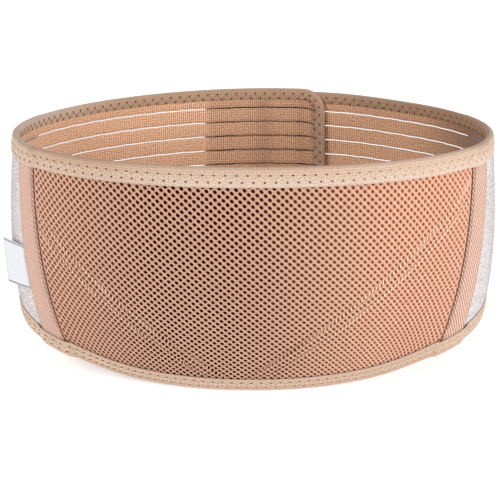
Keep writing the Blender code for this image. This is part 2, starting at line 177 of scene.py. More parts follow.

# Bump is in mm; weave rows are (turn in degrees, pitch in mm, weight). Where a piece's painted shade is 1,
# its colour is multiplied by its painted shade colour.
CLOTHS = {
    "mesh_yarn": {
        "light": (0.690, 0.415, 0.300), "dark": (0.440, 0.230, 0.150), "deep": (0.780, 0.760, 0.740),
        "roughness": 0.80, "sheen": 0.25,
        "weave": [(50, 0.9, 0.3), (-50, 0.9, 0.3)], "grain": (0.7, 1.0), "bump": 0.16,
    },
    "mesh_depth": {
        "light": (0.640, 0.300, 0.170), "dark": (0.460, 0.190, 0.090), "deep": (0.110, 0.048, 0.030),
        "roughness": 0.95, "sheen": 0.0,
        "weave": [(0, 0.8, 0.3)], "grain": (1.2, 1.0), "bump": 0.10,
    },
    "mesh_inner": {
        "light": (0.610, 0.400, 0.300), "dark": (0.45, 0.27, 0.19), "roughness": 0.85, "sheen": 0.2,
        "weave": [(0, 1.1, 0.6), (90, 0.8, 0.4)], "grain": (1.4, 0.6), "bump": 0.20,
    },
    "binding_cloth": {
        "light": (0.600, 0.465, 0.380), "dark": (0.370, 0.268, 0.208), "deep": (0.710, 0.560, 0.420),
        "roughness": 0.62, "sheen": 0.15,
        "weave": [(90, 2.1, 0.25), (0, 1.9, 0.20)], "grain": (1.5, 1.2), "bump": 0.10,
    },
    "tape_twill": {
        "light": (0.600, 0.385, 0.305), "dark": (0.290, 0.160, 0.120), "roughness": 0.80, "sheen": 0.2,
        "weave": [(-35, 2.3, 0.8)], "grain": (1.0, 0.9), "bump": 0.30,
    },
    "elastic_cloth": {
        "light": (0.980, 0.590, 0.375), "dark": (0.190, 0.085, 0.045), "deep": (0.120, 0.095, 0.080),
        "roughness": 0.75, "sheen": 0.15,
        "weave": [(0, 1.7, 0.40), (90, 2.1, 0.15)], "grain": (1.1, 1.7), "bump": 0.25,
    },
    "loop_pile": {
        "light": (0.740, 0.690, 0.690), "dark": (0.300, 0.262, 0.265), "roughness": 0.95, "sheen": 0.4,
        "weave": [(0, 2.3, 0.35), (90, 2.4, 0.15)], "grain": (1.2, 1.2), "bump": 0.35,
    },
    "hook_tape": {
        "light": (0.520, 0.340, 0.240), "dark": (0.34, 0.20, 0.13), "roughness": 0.55, "sheen": 0.0,
        "weave": [(0, 1.4, 0.8), (90, 1.6, 0.8)], "grain": (0.8, 0.6), "bump": 0.40,
    },
    "label_satin": {
        "light": (0.560, 0.575, 0.590), "dark": (0.500, 0.515, 0.535), "roughness": 0.45, "sheen": 0.1,
        "weave": [(0, 0.7, 0.3), (90, 0.7, 0.3)], "grain": (3.0, 0.4), "bump": 0.04,
    },
    "label_edge": {
        "light": (0.230, 0.250, 0.300), "dark": (0.16, 0.18, 0.22), "roughness": 0.60, "sheen": 0.0,
        "weave": [(0, 0.7, 0.4)], "grain": (1.0, 0.5), "bump": 0.04,
    },
    "thread_beige": {
        "light": (0.640, 0.500, 0.375), "dark": (0.520, 0.390, 0.280), "deep": (0.640, 0.540, 0.430),
        "roughness": 0.50, "sheen": 0.1,
        "weave": [(30, 0.5, 0.5)], "grain": (1.0, 0.5), "bump": 0.05,
    },
    "thread_cream": {
        "light": (0.950, 0.780, 0.600), "dark": (0.820, 0.600, 0.410), "deep": (0.460, 0.350, 0.290),
        "roughness": 0.45, "sheen": 0.1,
        "weave": [(30, 0.5, 0.5)], "grain": (1.0, 0.5), "bump": 0.05,
    },
    "thread_brown": {
        "light": (0.160, 0.075, 0.050), "dark": (0.09, 0.04, 0.025), "roughness": 0.70, "sheen": 0.0,
        "weave": [(30, 0.5, 0.5)], "grain": (1.0, 0.5), "bump": 0.05,
    },
    "pinhole_shade": {
        "light": (0.480, 0.310, 0.210), "dark": (0.350, 0.210, 0.130), "deep": (0.290, 0.190, 0.140),
        "roughness": 0.90, "sheen": 0.0,
        "weave": [], "grain": (1.0, 0.5), "bump": 0.02,
    },
}


# Loop plan

def plan_point(angle):
    """Place on the loop's plan; 0 is the middle of the front, positive to the right."""
    side, fore = np.sin(angle), np.cos(angle)
    reach = np.where(fore >= 0, FRONT_REACH, BACK_REACH)
    power = 2 / np.where(fore >= 0, FRONT_SQUARENESS, BACK_SQUARENESS)
    x = np.sign(side) * WAIST_HALF_WIDTH * np.abs(side) ** power
    y = WIDEST_LINE_Y - np.sign(fore) * reach * np.abs(fore) ** power
    return x, y


PLAN_ANGLES = np.linspace(0, math.pi, 721)
PLAN_STEPS = np.hypot(*np.diff(plan_point(PLAN_ANGLES), axis=1))
PLAN_ARCS = np.concatenate([[0], np.cumsum(PLAN_STEPS)])
HALF_ROUND = float(PLAN_ARCS[-1])


def angle_at(along):
    distance = np.abs(along)
    before = np.interp(distance, PLAN_ARCS, PLAN_ANGLES)
    past = 2 * math.pi - np.interp(2 * HALF_ROUND - distance, PLAN_ARCS, PLAN_ANGLES)
    return np.sign(along) * np.where(distance <= HALF_ROUND, before, past)


def fading(along, fade, power):
    """Share of the front's shape that is left at a distance round the loop."""
    turn = np.abs(angle_at(along))
    quarters = np.minimum(turn, 2 * math.pi - turn) / (math.pi / 2)
    return np.exp(-((quarters / fade) ** power))


def wall_length(along):
    return WING_HEIGHT + (FRONT_LENGTH - WING_HEIGHT) * fading(along, FRONT_FADE, FRONT_FADE_POWER)


def smooth(share):
    """0 up to a share of 0, 1 from a share of 1, and eased between."""
    share = np.clip(share, 0, 1)
    return share * share * (3 - 2 * share)


# Painted shade that grows from its start over its run; a negative strength paints light
def shade(name, along):
    start, run, strength = SHADES[name]
    return strength * smooth((along - start) / run)


# Wrapping flat cloth round the body

def inner_face(along, down):
    """Places on the belt's inner face, with the upper edge at z = 0."""
    angle = angle_at(along)
    front = fading(along, CURL_FADE, CURL_FADE_POWER)
    length = wall_length(along)
    step = down / PROFILE_STEPS
    inward = np.zeros_like(step)
    drop = np.zeros_like(step)
    for index in range(PROFILE_STEPS):
        bent = np.clip((index + 0.5) * step, BINDING_OUTER_WIDTH, length - BINDING_OUTER_WIDTH)
        share = bent / length
        lean = CURL * share ** CURL_POWER * front
        lean += (HEM_TUCK * share ** HEM_TUCK_POWER - SIDE_FLARE) * (1 - front)
        inward += np.sin(lean) * step
        drop += np.cos(lean) * step
    gather = FRONT_GATHER + (1 - FRONT_GATHER) * (1 - front)
    sideways, forward = -gather * np.sin(angle), np.cos(angle)
    reach = inward / np.hypot(sideways, forward)
    x, y = plan_point(angle)
    return np.stack([x + sideways * reach, y + forward * reach, -drop], axis=-1)


def unit(vectors):
    return vectors / np.maximum(np.linalg.norm(vectors, axis=-1, keepdims=True), 1e-12)


def outward(along, down):
    """Directions that face away from the body."""
    reach = 0.0005
    sideways = inner_face(along + reach, down) - inner_face(along - reach, down)
    downward = inner_face(along, down + reach) - inner_face(along, down - reach)
    return unit(np.cross(downward, sideways))


def overlap_lift(along):
    """The right wing steps out over the left one, clear of its binding."""
    start = HALF_ROUND - LEFT_WING_PAST_BACK
    lift = ELASTIC_THICKNESS + 2 * (BINDING_THICKNESS + GAP) + GAP
    return lift * smooth(1 + (along - start + EDGE_INSET) / OVERLAP_RAMP)


def end_rise(along):
    """The left end is fastened a little higher than the right one."""
    end = HALF_ROUND + LEFT_WING_PAST_BACK
    return np.where(along > 0, 0.0, LEFT_END_RISE * smooth(1 - (end + along) / RISE_RUN))


def lean_back():
    front = inner_face(np.array([0.0]), wall_length(np.array([0.0])))[0]
    rear_place = np.array([HALF_ROUND])
    rear = inner_face(rear_place, wall_length(rear_place))[0]
    return Matrix.Rotation(-math.atan2(rear[2] - front[2], rear[1] - front[1]), 3, "X")


LEAN = lean_back()


def wrap(flat):
    """Flat places (..., 3) as points on the standing belt, none below the floor."""
    along, down, out = flat[..., 0], flat[..., 1], flat[..., 2]
    down = down - end_rise(along)
    out = out + overlap_lift(along)
    points = inner_face(along, down) + outward(along, down) * out[..., None]
    points = points @ np.array(LEAN).T + np.array(GROUND_SHIFT)
    points[..., 2] = np.maximum(points[..., 2], FLOOR_GAP)
    return points


# Meshes

def add_mesh(name, points, faces, cloths, uv=None, face_cloths=None, painted_shade=None):
    """A piece on the root body; faces are a list or an array of corner numbers."""
    mesh = bpy.data.meshes.new(name)
    faces = faces.tolist() if isinstance(faces, np.ndarray) else faces
    mesh.from_pydata(points.reshape(-1, 3).tolist(), [], faces)
    for cloth in cloths:
        mesh.materials.append(MATERIALS[cloth])
    if face_cloths is not None:
        mesh.polygons.foreach_set("material_index", np.asarray(face_cloths, dtype=np.int32))
    if uv is not None:
        layer = mesh.uv_layers.new(name="cloth")
        corners = np.empty(len(mesh.loops), dtype=np.int32)
        mesh.loops.foreach_get("vertex_index", corners)
        layer.data.foreach_set("uv", uv.reshape(-1, 2)[corners].astype(np.float32).ravel())
    # Painted shade for each point, read by the cloths' colour
    if painted_shade is not None:
        mesh.attributes.new("painted_shade", "FLOAT", "POINT").data.foreach_set(
            "value", np.clip(painted_shade, 0, 1).astype(np.float32).ravel())
    mesh.polygons.foreach_set("use_smooth", [True] * len(mesh.polygons))
    mesh.validate()
    obj = bpy.data.objects.new(name, mesh)
    bpy.context.scene.collection.objects.link(obj)
    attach(obj, "root")
    return obj


def grid_faces(sections, corners, ring_of_sections):
    """Quads of a tube whose section is closed, from section to section."""
    count = sections if ring_of_sections else sections - 1
    first = np.arange(count)[:, None] * corners
    following = (np.arange(1, count + 1) % sections)[:, None] * corners
    corner = np.arange(corners)[None, :]
    beside = (corner + 1) % corners
    quads = [first + corner, first + beside, following + beside, following + corner]
    return np.stack(np.broadcast_arrays(*quads), axis=-1).reshape(-1, 4)


def end_faces(first, last, corners):
    """Both ends of a tube, from the numbers of its first and last section's first corner."""
    ring = list(range(corners))
    return [[first + corner for corner in ring][::-1], [last + corner for corner in ring]]


def loft(name, flat, cloths, ring=False, uv=None, corner_cloths=None, painted_shade=None):
    """A closed piece through sections of flat places; flat has the shape (sections, corners, 3)."""
    sections, corners = flat.shape[:2]
    faces = grid_faces(sections, corners, ring).tolist()
    face_cloths = None
    if corner_cloths is not None:
        face_cloths = np.tile(corner_cloths, len(faces) // corners)
    if not ring:
        faces += end_faces(0, (sections - 1) * corners, corners)
        if face_cloths is not None:
            face_cloths = np.concatenate([face_cloths, [0, 0]])
    uv = flat[..., :2] if uv is None else uv
    return add_mesh(name, wrap(flat), faces, cloths, uv, face_cloths, painted_shade)


def sheet_section(downs, inner, outer, edge):
    """Closed sections of a sheet: down its outer face and up its inner one, with eased edges.

    downs has the shape (columns, rows); inner and outer are numbers or arrays of that shape.
    """
    inner = np.broadcast_to(inner, downs.shape)
    outer = np.broadcast_to(outer, downs.shape)
    eased = outer.copy()
    eased[:, 0] -= edge
    eased[:, -1] -= edge
    down = np.concatenate([downs, downs[:, ::-1]], axis=1)
    out = np.concatenate([eased, inner[:, ::-1]], axis=1)
    return down, out


def places(start, end, step):
    return np.linspace(start, end, max(2, round(abs(end - start) / step) + 1))


def rows_between(top, bottom, count):
    return top[:, None] + (bottom - top)[:, None] * np.linspace(0, 1, count)[None, :]


def stack_top(along):
    """Top of the cloth under the binding."""
    ramps = [
        (0.0, MESH_THICKNESS),
        (TAPE_START - STEP_RAMP, MESH_THICKNESS),
        (TAPE_START - STEP_CLEAR, TAPE_STACK),
        (TAPE_END + STEP_CLEAR, TAPE_STACK),
        (TAPE_END + STEP_RAMP, LOOP_STACK),
        (LOOP_PANEL_END + STEP_CLEAR, LOOP_STACK),
        (LOOP_PANEL_END + STEP_RAMP, ELASTIC_THICKNESS),
    ]
    return np.interp(np.abs(along), [ramp[0] for ramp in ramps], [ramp[1] for ramp in ramps])


# Materials

def make_cloth(name):
    """A woven or knitted cloth: its weave and grain shade the colour and raise the surface."""
    values = CLOTHS[name]
    material = bpy.data.materials.new(name)
    material.use_nodes = True
    tree = material.node_tree
    shader = tree.nodes["Principled BSDF"]
    shader.inputs["Roughness"].default_value = values["roughness"]
    shader.inputs["Sheen Weight"].default_value = values["sheen"]
    shader.inputs["Specular IOR Level"].default_value = values["sheen"]
    uv_map = tree.nodes.new("ShaderNodeUVMap")
    uv_map.uv_map = "cloth"
    millimetres = tree.nodes.new("ShaderNodeVectorMath")
    millimetres.operation = "SCALE"
    millimetres.inputs["Scale"].default_value = 1000
    tree.links.new(uv_map.outputs["UV"], millimetres.inputs[0])
    grain_size, grain_weight = values["grain"]
    noise = tree.nodes.new("ShaderNodeTexNoise")
    noise.inputs["Scale"].default_value = 1 / grain_size
    noise.inputs["Detail"].default_value = 4
    tree.links.new(millimetres.outputs["Vector"], noise.inputs["Vector"])
    height = add_weighted(tree, noise.outputs["Fac"], grain_weight, None)
    for turn, pitch, weight in values["weave"]:
        height = add_weighted(tree, weave_wave(tree, millimetres, turn, pitch), weight, height)
    total = grain_weight + sum(weight for turn, pitch, weight in values["weave"])
    shade = tree.nodes.new("ShaderNodeMapRange")
    shade.inputs["From Min"].default_value = total * 0.30
    shade.inputs["From Max"].default_value = total * 0.68
    tree.links.new(height, shade.inputs["Value"])
    mix = tree.nodes.new("ShaderNodeMix")
    mix.data_type = "RGBA"
    mix.inputs["A"].default_value = (*values["dark"], 1)
    mix.inputs["B"].default_value = (*values["light"], 1)
    tree.links.new(shade.outputs["Result"], mix.inputs["Factor"])
    # Painted shade: where the painted_shade attribute is 1, the colour is multiplied by the painted shade
    # colour
    if "deep" in values:
        painted_shade = tree.nodes.new("ShaderNodeAttribute")
        painted_shade.attribute_name = "painted_shade"
        deepen = tree.nodes.new("ShaderNodeMix")
        deepen.data_type = "RGBA"
        deepen.blend_type = "MULTIPLY"
        deepen.inputs["B"].default_value = (*values["deep"], 1)
        tree.links.new(painted_shade.outputs["Fac"], deepen.inputs["Factor"])
        tree.links.new(mix.outputs["Result"], deepen.inputs["A"])
        mix = deepen
    tree.links.new(mix.outputs["Result"], shader.inputs["Base Color"])
    bump = tree.nodes.new("ShaderNodeBump")
    bump.inputs["Strength"].default_value = 1
    bump.inputs["Distance"].default_value = values["bump"] / 1000
    tree.links.new(height, bump.inputs["Height"])
    tree.links.new(bump.outputs["Normal"], shader.inputs["Normal"])
    return material


def weave_wave(tree, millimetres, turn, pitch):
    """A wave from 0 to 1 across the cloth."""
    turns = 2 * math.pi / pitch
    across = tree.nodes.new("ShaderNodeVectorMath")
    across.operation = "DOT_PRODUCT"
    across.inputs[1].default_value = (
        turns * math.cos(math.radians(turn)), turns * math.sin(math.radians(turn)), 0)
    tree.links.new(millimetres.outputs["Vector"], across.inputs[0])
    sine = tree.nodes.new("ShaderNodeMath")
    sine.operation = "SINE"
    tree.links.new(across.outputs["Value"], sine.inputs[0])
    level = tree.nodes.new("ShaderNodeMath")
    level.operation = "MULTIPLY_ADD"
    level.inputs[1].default_value = 0.5
    level.inputs[2].default_value = 0.5
    tree.links.new(sine.outputs["Value"], level.inputs[0])
    return level.outputs["Value"]


def add_weighted(tree, value, weight, rest):
    node = tree.nodes.new("ShaderNodeMath")
    node.operation = "MULTIPLY_ADD"
    node.inputs[1].default_value = weight
    node.inputs[2].default_value = 0
    tree.links.new(value, node.inputs[0])
    if rest is not None:
        tree.links.new(rest, node.inputs[2])
    return node.outputs["Value"]


MATERIALS = {name: make_cloth(name) for name in CLOTHS}


# Front mesh panel

def v_seam(along):
    """Height of the V's upper seam."""
    start = np.where(along > 0, V_SEAM_START_RIGHT, V_SEAM_START_LEFT)
    return start + V_SEAM_SLOPE * (TAPE_START - np.abs(along))


def mesh_top(along, down):
    """Outer face of the mesh: the V band is a little raised, with a valley at each of its seams."""
    share = (down - v_seam(along)) / V_SEAM_WIDTH
    clear_of_tape = smooth((TAPE_START - STEP_RAMP - np.abs(along)) / STEP_RAMP)
    clear_of_binding = smooth((wall_length(along) - BINDING_OUTER_WIDTH - down) / STEP_RAMP)
    raised = V_SEAM_RISE * smooth(share * 4) * smooth((1 - share) * 4)
    valley = np.exp(-(share / 0.09) ** 2) + np.exp(-((share - 1) / 0.09) ** 2)
    return MESH_THICKNESS + (raised - 0.0005 * valley) * clear_of_tape * clear_of_binding


def mesh_painted_shade(along):
    """Painted shade on the mesh: deepest left of the middle and paler towards the right seam, where light
    falls.
    """
    deeper = 1 - MESH_RIGHT_PAINTED_SHADE + shade("mesh_right", along)
    return MESH_RIGHT_PAINTED_SHADE + deeper * (1 + shade("mesh_left", along))


def make_mesh_face():
    """The perforated face: one tile for each hole, joined to its neighbours, with a hole's wall."""
    half_along, half_down = HOLE_PITCH_ALONG / 2, HOLE_PITCH_DOWN / 2
    columns = math.ceil(TAPE_START / half_along) + 1
    rows = math.ceil((FRONT_LENGTH + TAPE_START * HOLE_SLANT) / half_down) + 2
    m, n = np.meshgrid(np.arange(-columns, columns + 1), np.arange(-rows, rows + 1), indexing="ij")
    keep = (m + n) % 2 == 0
    m, n = m[keep], n[keep]

    def lattice(m, n):
        along = m * half_along
        return along, n * half_down + along * HOLE_SLANT

    along, down = lattice(m, n)
    under_binding = BINDING_OUTER_WIDTH / 2
    inside = (np.abs(along) < TAPE_START + 0.0005) & (down > under_binding)
    inside &= down < wall_length(along) - under_binding
    m, n, along, down = m[inside], n[inside], along[inside], down[inside]

    # Shared outer ring of each tile, on a lattice twice as fine
    ring = [(2, 0), (1, 1), (0, 2), (-1, 1), (-2, 0), (-1, -1), (0, -2), (1, -1)]
    keys = np.stack([np.stack([2 * m + p, 2 * n + q], axis=-1) for p, q in ring], axis=1)
    shared, index = np.unique(keys.reshape(-1, 2), axis=0, return_inverse=True)
    index = index.reshape(-1, 8)
    shared_along, shared_down = lattice(shared[:, 0] / 2, shared[:, 1] / 2)
    is_knot = shared[:, 0] % 2 == 0
    shared_out = mesh_top(shared_along, shared_down) - np.where(is_knot, 0.00005, 0.0)

    # Rims of each hole, at the face and at its floor
    turn = np.radians(np.arange(8) * 45)
    slant = turn - math.radians(45)
    reach = HOLE_HALF_LENGTH * HOLE_HALF_WIDTH / np.hypot(
        HOLE_HALF_WIDTH * np.cos(slant), HOLE_HALF_LENGTH * np.sin(slant))
    rings = []
    for shrink in (1.0, HOLE_NARROWING):
        across = reach * shrink * np.cos(turn)
        ring_along = along[:, None] + across
        ring_down = down[:, None] + reach * shrink * np.sin(turn) + HOLE_SLANT * across
        if shrink == 1:
            ring_out = mesh_top(ring_along, ring_down) - HOLE_LIP
        else:
            ring_out = np.full_like(ring_along, HOLE_FLOOR - 0.0001)
        rings.append(np.stack([ring_along, ring_down, ring_out], axis=-1).reshape(-1, 3))
    flat = np.concatenate([np.stack([shared_along, shared_down, shared_out], axis=-1), *rings])
    lip = len(shared) + np.arange(len(along) * 8).reshape(-1, 8)
    floor = lip + len(along) * 8
    faces = []
    for outer, inner in ((index, lip), (lip, floor)):
        beside_outer, beside_inner = np.roll(outer, -1, axis=1), np.roll(inner, -1, axis=1)
        faces.append(np.stack([outer, inner, beside_inner, beside_outer], axis=-1).reshape(-1, 4))
    wall = np.repeat([0, 1], len(faces[0]))
    # The faces and hole walls carry the mesh's painted shade
    return add_mesh(
        "mesh_face", wrap(flat), np.concatenate(faces), ["mesh_yarn", "mesh_depth"], flat[:, :2], wall,
        mesh_painted_shade(flat[:, 0]))


def make_mesh_lining():
    """The closed inner knit of the mesh; its outer face is the ground of the holes, with painted shade left
    of the middle.
    """
    along = places(-JOINT + GAP, JOINT - GAP, 0.004)
    downs = rows_between(np.full_like(along, EDGE_INSET), wall_length(along) - EDGE_INSET, 41)
    down, out = sheet_section(downs, 0.0, HOLE_FLOOR, 0.0)
    flat = np.stack([np.broadcast_to(along[:, None], down.shape), down, out], axis=-1)
    rows = downs.shape[1]
    corner_cloths = [0] * (rows - 1) + [1] * (rows + 1)
    return loft(
        "mesh_lining", flat, ["mesh_depth", "mesh_inner"], corner_cloths=corner_cloths,
        painted_shade=mesh_painted_shade(flat[..., 0]))


# Tapes, loop panels, wings

def make_plain_sheet(name, start, end, inner, outer, cloth, edge, rows=25, step=0.003, pressed=0.0):
    """A sheet of even thickness, pressed down towards the mesh along its first edge."""
    along = places(start, end, step)
    downs = rows_between(np.full_like(along, EDGE_INSET), wall_length(along) - EDGE_INSET, rows)
    eased = np.full(len(along), outer)
    eased[[0, -1]] -= edge
    press = pressed * (1 - smooth(np.abs(along - start) / 0.006))[:, None]
    down, out = sheet_section(downs, inner - press, eased[:, None] - press * np.ones_like(downs), edge)
    flat = np.stack([np.broadcast_to(along[:, None], down.shape), down, out], axis=-1)
    return loft(name, flat, [cloth])


def wing_inset(along, end):
    """How far the wing's edge lies in from its full height, at its rounded end."""
    corner = CORNER_RADIUS - EDGE_INSET
    into = np.clip(np.abs(along) - (end - CORNER_RADIUS), 0, corner)
    return EDGE_INSET + corner - np.sqrt(corner ** 2 - into ** 2)


def overlapped(side, along):
    """1 where the two wings lie over each other."""
    if side > 0:
        return smooth((along - HALF_ROUND + LEFT_WING_PAST_BACK) / OVERLAP_EDGE)
    return smooth((RIGHT_WING_PAST_BACK - HALF_ROUND - along) / OVERLAP_EDGE)


def wing_painted_shade(side, along):
    """Painted shade where the wings overlap and at the right front, with faint darker bands across."""
    if side > 0:
        return shade("wing_right_front", along)
    past = HALF_ROUND + along
    marks = sum(weight * np.exp(-((past - place) / width) ** 2) for place, width, weight in WING_MARKS)
    return OVERLAP_PAINTED_SHADE * overlapped(side, along) + MARK_TONE * marks


def make_wing(name, side, past_back):
    """Woven bands between rows of open ribs, crossed by fine threads."""
    end = HALF_ROUND + past_back
    tip = end - EDGE_INSET
    corner = CORNER_RADIUS - EDGE_INSET
    rounds = tip - corner * (1 - np.sin(np.radians(np.arange(0, 90, 10))))
    along = np.unique(np.concatenate([places(JOINT + GAP, tip - corner, 0.003), rounds]))
    along = along * side if side > 0 else -along[::-1]
    height = wall_length(along)
    inset = wing_inset(along, end)
    squeeze = (height - 2 * inset) / (height - 2 * EDGE_INSET)

    def squeezed(row):
        return inset + (row - EDGE_INSET) * squeeze

    ribs = [RIB_FIRST + RIB_PITCH * index for index in range(RIB_COUNT)]
    tops = [EDGE_INSET] + [rib + RIB_OPENING / 2 for rib in ribs]
    bottoms = [rib - RIB_OPENING / 2 for rib in ribs] + [None]
    across = np.array([0.0, 0.03, 0.25, 0.5, 0.75, 0.97, 1.0])
    swell = np.array([-0.75, -0.22, 0.04, 0.10, 0.04, -0.22, -0.75]) * 0.001
    bands = []

    def wobble(rib):
        return RIB_WOBBLE * (np.sin(along * 290 + rib * 1.7) + 0.3 * np.sin(along * 733 + rib * 4.1))

    wider = RIB_WIDENING * smooth((LOOP_PANEL_END - np.abs(along)) / RIB_WIDENING_RAMP)
    for index, (top, bottom) in enumerate(zip(tops, bottoms)):
        upper = squeezed(top + (wobble(index) + wider if index else 0 * along))
        lower = squeezed(height - EDGE_INSET if bottom is None else bottom + wobble(index + 1) - wider)
        downs = upper[:, None] + (lower - upper)[:, None] * across
        down = np.concatenate([downs, downs[:, -2:0:-1]], axis=1)
        bulge = np.broadcast_to(swell, downs.shape)
        out = np.concatenate([ELASTIC_THICKNESS + bulge, -0.5 * bulge[:, -2:0:-1]], axis=1)
        flat = np.stack([np.broadcast_to(along[:, None], down.shape), down, out], axis=-1)
        bands.append(flat)
    bands = np.stack(bands)
    count, sections, corners = bands.shape[:3]

    # Painted shade: the slits' edges are darkest between the wings, where the layer behind lies in shade
    painted_shade = wing_painted_shade(side, bands[..., 0])
    shaded = [0, len(across) - 1] if side < 0 else list(range(len(across), corners))
    painted_shade[..., shaded] = np.maximum(painted_shade[..., shaded], overlapped(side, along)[:, None])
    faces = []
    for index in range(count):
        base = index * sections * corners
        faces += (grid_faces(sections, corners, False) + base).tolist()
        faces += end_faces(base, base + (sections - 1) * corners, corners)
    wing = add_mesh(name, wrap(bands), faces, ["elastic_cloth"], bands[..., :2], painted_shade=painted_shade)
    return wing, make_rib_threads(name + "_rib_threads", side, end)


def make_rib_threads(name, side, end):
    """Fine threads that cross every open rib."""
    paths = []
    reach = 1.15 * RIB_OPENING
    for index in range(RIB_COUNT):
        rib = RIB_FIRST + RIB_PITCH * index
        for along in side * places(JOINT + 0.002, end - CORNER_RADIUS, RIB_THREAD_PITCH):
            paths.append([(along, rib + half, ELASTIC_THICKNESS / 2) for half in (-reach, reach)])
    return tubes(name, np.array(paths), RIB_THREAD, "elastic_cloth", sides=3)


# Threads and stitches

def tubes(name, paths, radius, cloth, sides=5, taper=1.0, painted_shade=None, flatness=1.0):
    """Threads along flat paths of the shape (threads, places, 3), each closed at both ends."""
    count, length = paths.shape[:2]
    points = wrap(paths)
    tangent = unit(np.gradient(points, axis=1))
    raised = paths.copy()
    raised[..., 2] += 0.001
    normal = unit(wrap(raised) - points)
    beside = unit(np.cross(tangent, normal))
    normal = np.cross(beside, tangent)
    turn = np.arange(sides) * 2 * math.pi / sides
    widths = np.full(length, radius)
    widths[[0, -1]] *= taper
    circle = (
        normal[:, :, None, :] * flatness * np.cos(turn)[:, None]
        + beside[:, :, None, :] * np.sin(turn)[:, None])
    rings = points[:, :, None, :] + circle * widths[None, :, None, None]
    one = grid_faces(length, sides, False)
    per_thread = length * sides
    quads = (one[None] + (np.arange(count) * per_thread)[:, None, None]).reshape(-1, 4)
    faces = quads.tolist()
    for base in range(0, count * per_thread, per_thread):
        faces += end_faces(base, base + per_thread - sides, sides)
    girth = np.broadcast_to(turn * radius, (count, length, sides))
    run = np.broadcast_to(paths[:, :, None, 0] + paths[:, :, None, 1], (count, length, sides))
    if painted_shade is not None:
        painted_shade = np.repeat(painted_shade, per_thread)
    return add_mesh(name, rings, faces, [cloth], np.stack([run, girth], axis=-1), painted_shade=painted_shade)


def stitch_paths(starts, ends, lift):
    """Arched threads from starts to ends, flat places of the shape (threads, 3)."""
    share = np.array([0.0, 0.12, 0.5, 0.88, 1.0])
    arch = np.array([-0.9, 0.55, 1.0, 0.55, -0.9]) * lift
    paths = starts[:, None, :] + (ends - starts)[:, None, :] * share[None, :, None]
    paths[..., 2] += arch
    return paths


def zigzag(near, far):
    """Stitches that go to and fro between two rows of places."""
    corners = np.empty((len(near) + len(far), 3))
    corners[0::2] = near
    corners[1::2] = far
    return corners[:-1], corners[1:]


def make_v_stitches():
    """Cream stitches that slant across both seams of the V."""
    starts, ends = [], []
    for side in (-1, 1):
        for seam in (0.0, V_SEAM_WIDTH):
            run = places(TAPE_START - 0.004, 0.0, V_STITCH_PITCH)
            along = side * run
            down = v_seam(along) + seam
            keep = down < wall_length(along) - BINDING_OUTER_WIDTH - 0.0005
            along, down = along[keep], down[keep]
            across = np.where(np.arange(len(along)) % 2 == 0, -1, 1) * V_STITCH_REACH
            normal = np.array([side * V_SEAM_SLOPE, 1.0]) / math.hypot(V_SEAM_SLOPE, 1)
            along = along + across * normal[0]
            down = down + across * normal[1]
            flat = np.stack([along, down, mesh_top(along, down) + 0.0001], axis=-1)
            starts.append(flat[:-1:2])
            ends.append(flat[1::2])
    paths = stitch_paths(np.concatenate(starts), np.concatenate(ends), 0.0004)
    along = paths[:, 0, 0]
    # Painted shade: the stitches darken towards the point of the V, and the left arm's outer end is darker
    # than the right's
    painted_shade = np.where(along < 0, V_LEFT_PAINTED_SHADE + shade("v_left", along), shade("v_right", along))
    return tubes("v_seam_stitches", paths, V_THREAD, "thread_cream", taper=0.4, painted_shade=painted_shade)


# Binding

def binding_path():
    """Places round the strip's edge, with the direction that points into the cloth."""
    radius = CORNER_RADIUS
    right = HALF_ROUND + RIGHT_WING_PAST_BACK
    left = -HALF_ROUND - LEFT_WING_PAST_BACK
    run = places(left + radius, right - radius, 0.002)
    path = [(along, 0.0, 0, 1) for along in run]

    def corner(centre_along, centre_down, first_turn):
        for turn in np.radians(np.arange(8, 90, 8)):
            across, up = math.cos(first_turn + turn), math.sin(first_turn + turn)
            path.append((centre_along + radius * across, centre_down + radius * up, -across, -up))

    def end_run(along, into, top, bottom):
        path.extend((along, down, into, 0) for down in places(top, bottom, 0.002))

    height = float(wall_length(right))
    corner(right - radius, radius, -math.pi / 2)
    end_run(right, -1, radius, height - radius)
    corner(right - radius, height - radius, 0)
    path.extend((along, float(wall_length(along)), 0, -1) for along in run[::-1])
    height = float(wall_length(left))
    corner(left + radius, height - radius, math.pi / 2)
    end_run(left, 1, height - radius, radius)
    corner(left + radius, radius, math.pi)
    return np.array(path)


PATH = binding_path()
PATH_STEPS = np.linalg.norm(np.diff(np.vstack([PATH, PATH[:1]])[:, :2], axis=0), axis=1)
PATH_RUN = np.concatenate([[0], np.cumsum(PATH_STEPS)])
PATH_LENGTH = float(PATH_RUN[-1])


def on_binding(run, into, out):
    """Flat places at a distance along the binding's path and a depth into the cloth."""
    looped = np.vstack([PATH, PATH[:1]])
    place = [np.interp(run % PATH_LENGTH, PATH_RUN, looped[:, column]) for column in range(4)]
    return np.stack([place[0] + place[2] * into, place[1] + place[3] * into, out], axis=-1)


def pucker(run):
    """The binding swells a little between one stitch and the next."""
    return 0.00012 * np.cos(2 * math.pi * run / BINDING_PITCH)


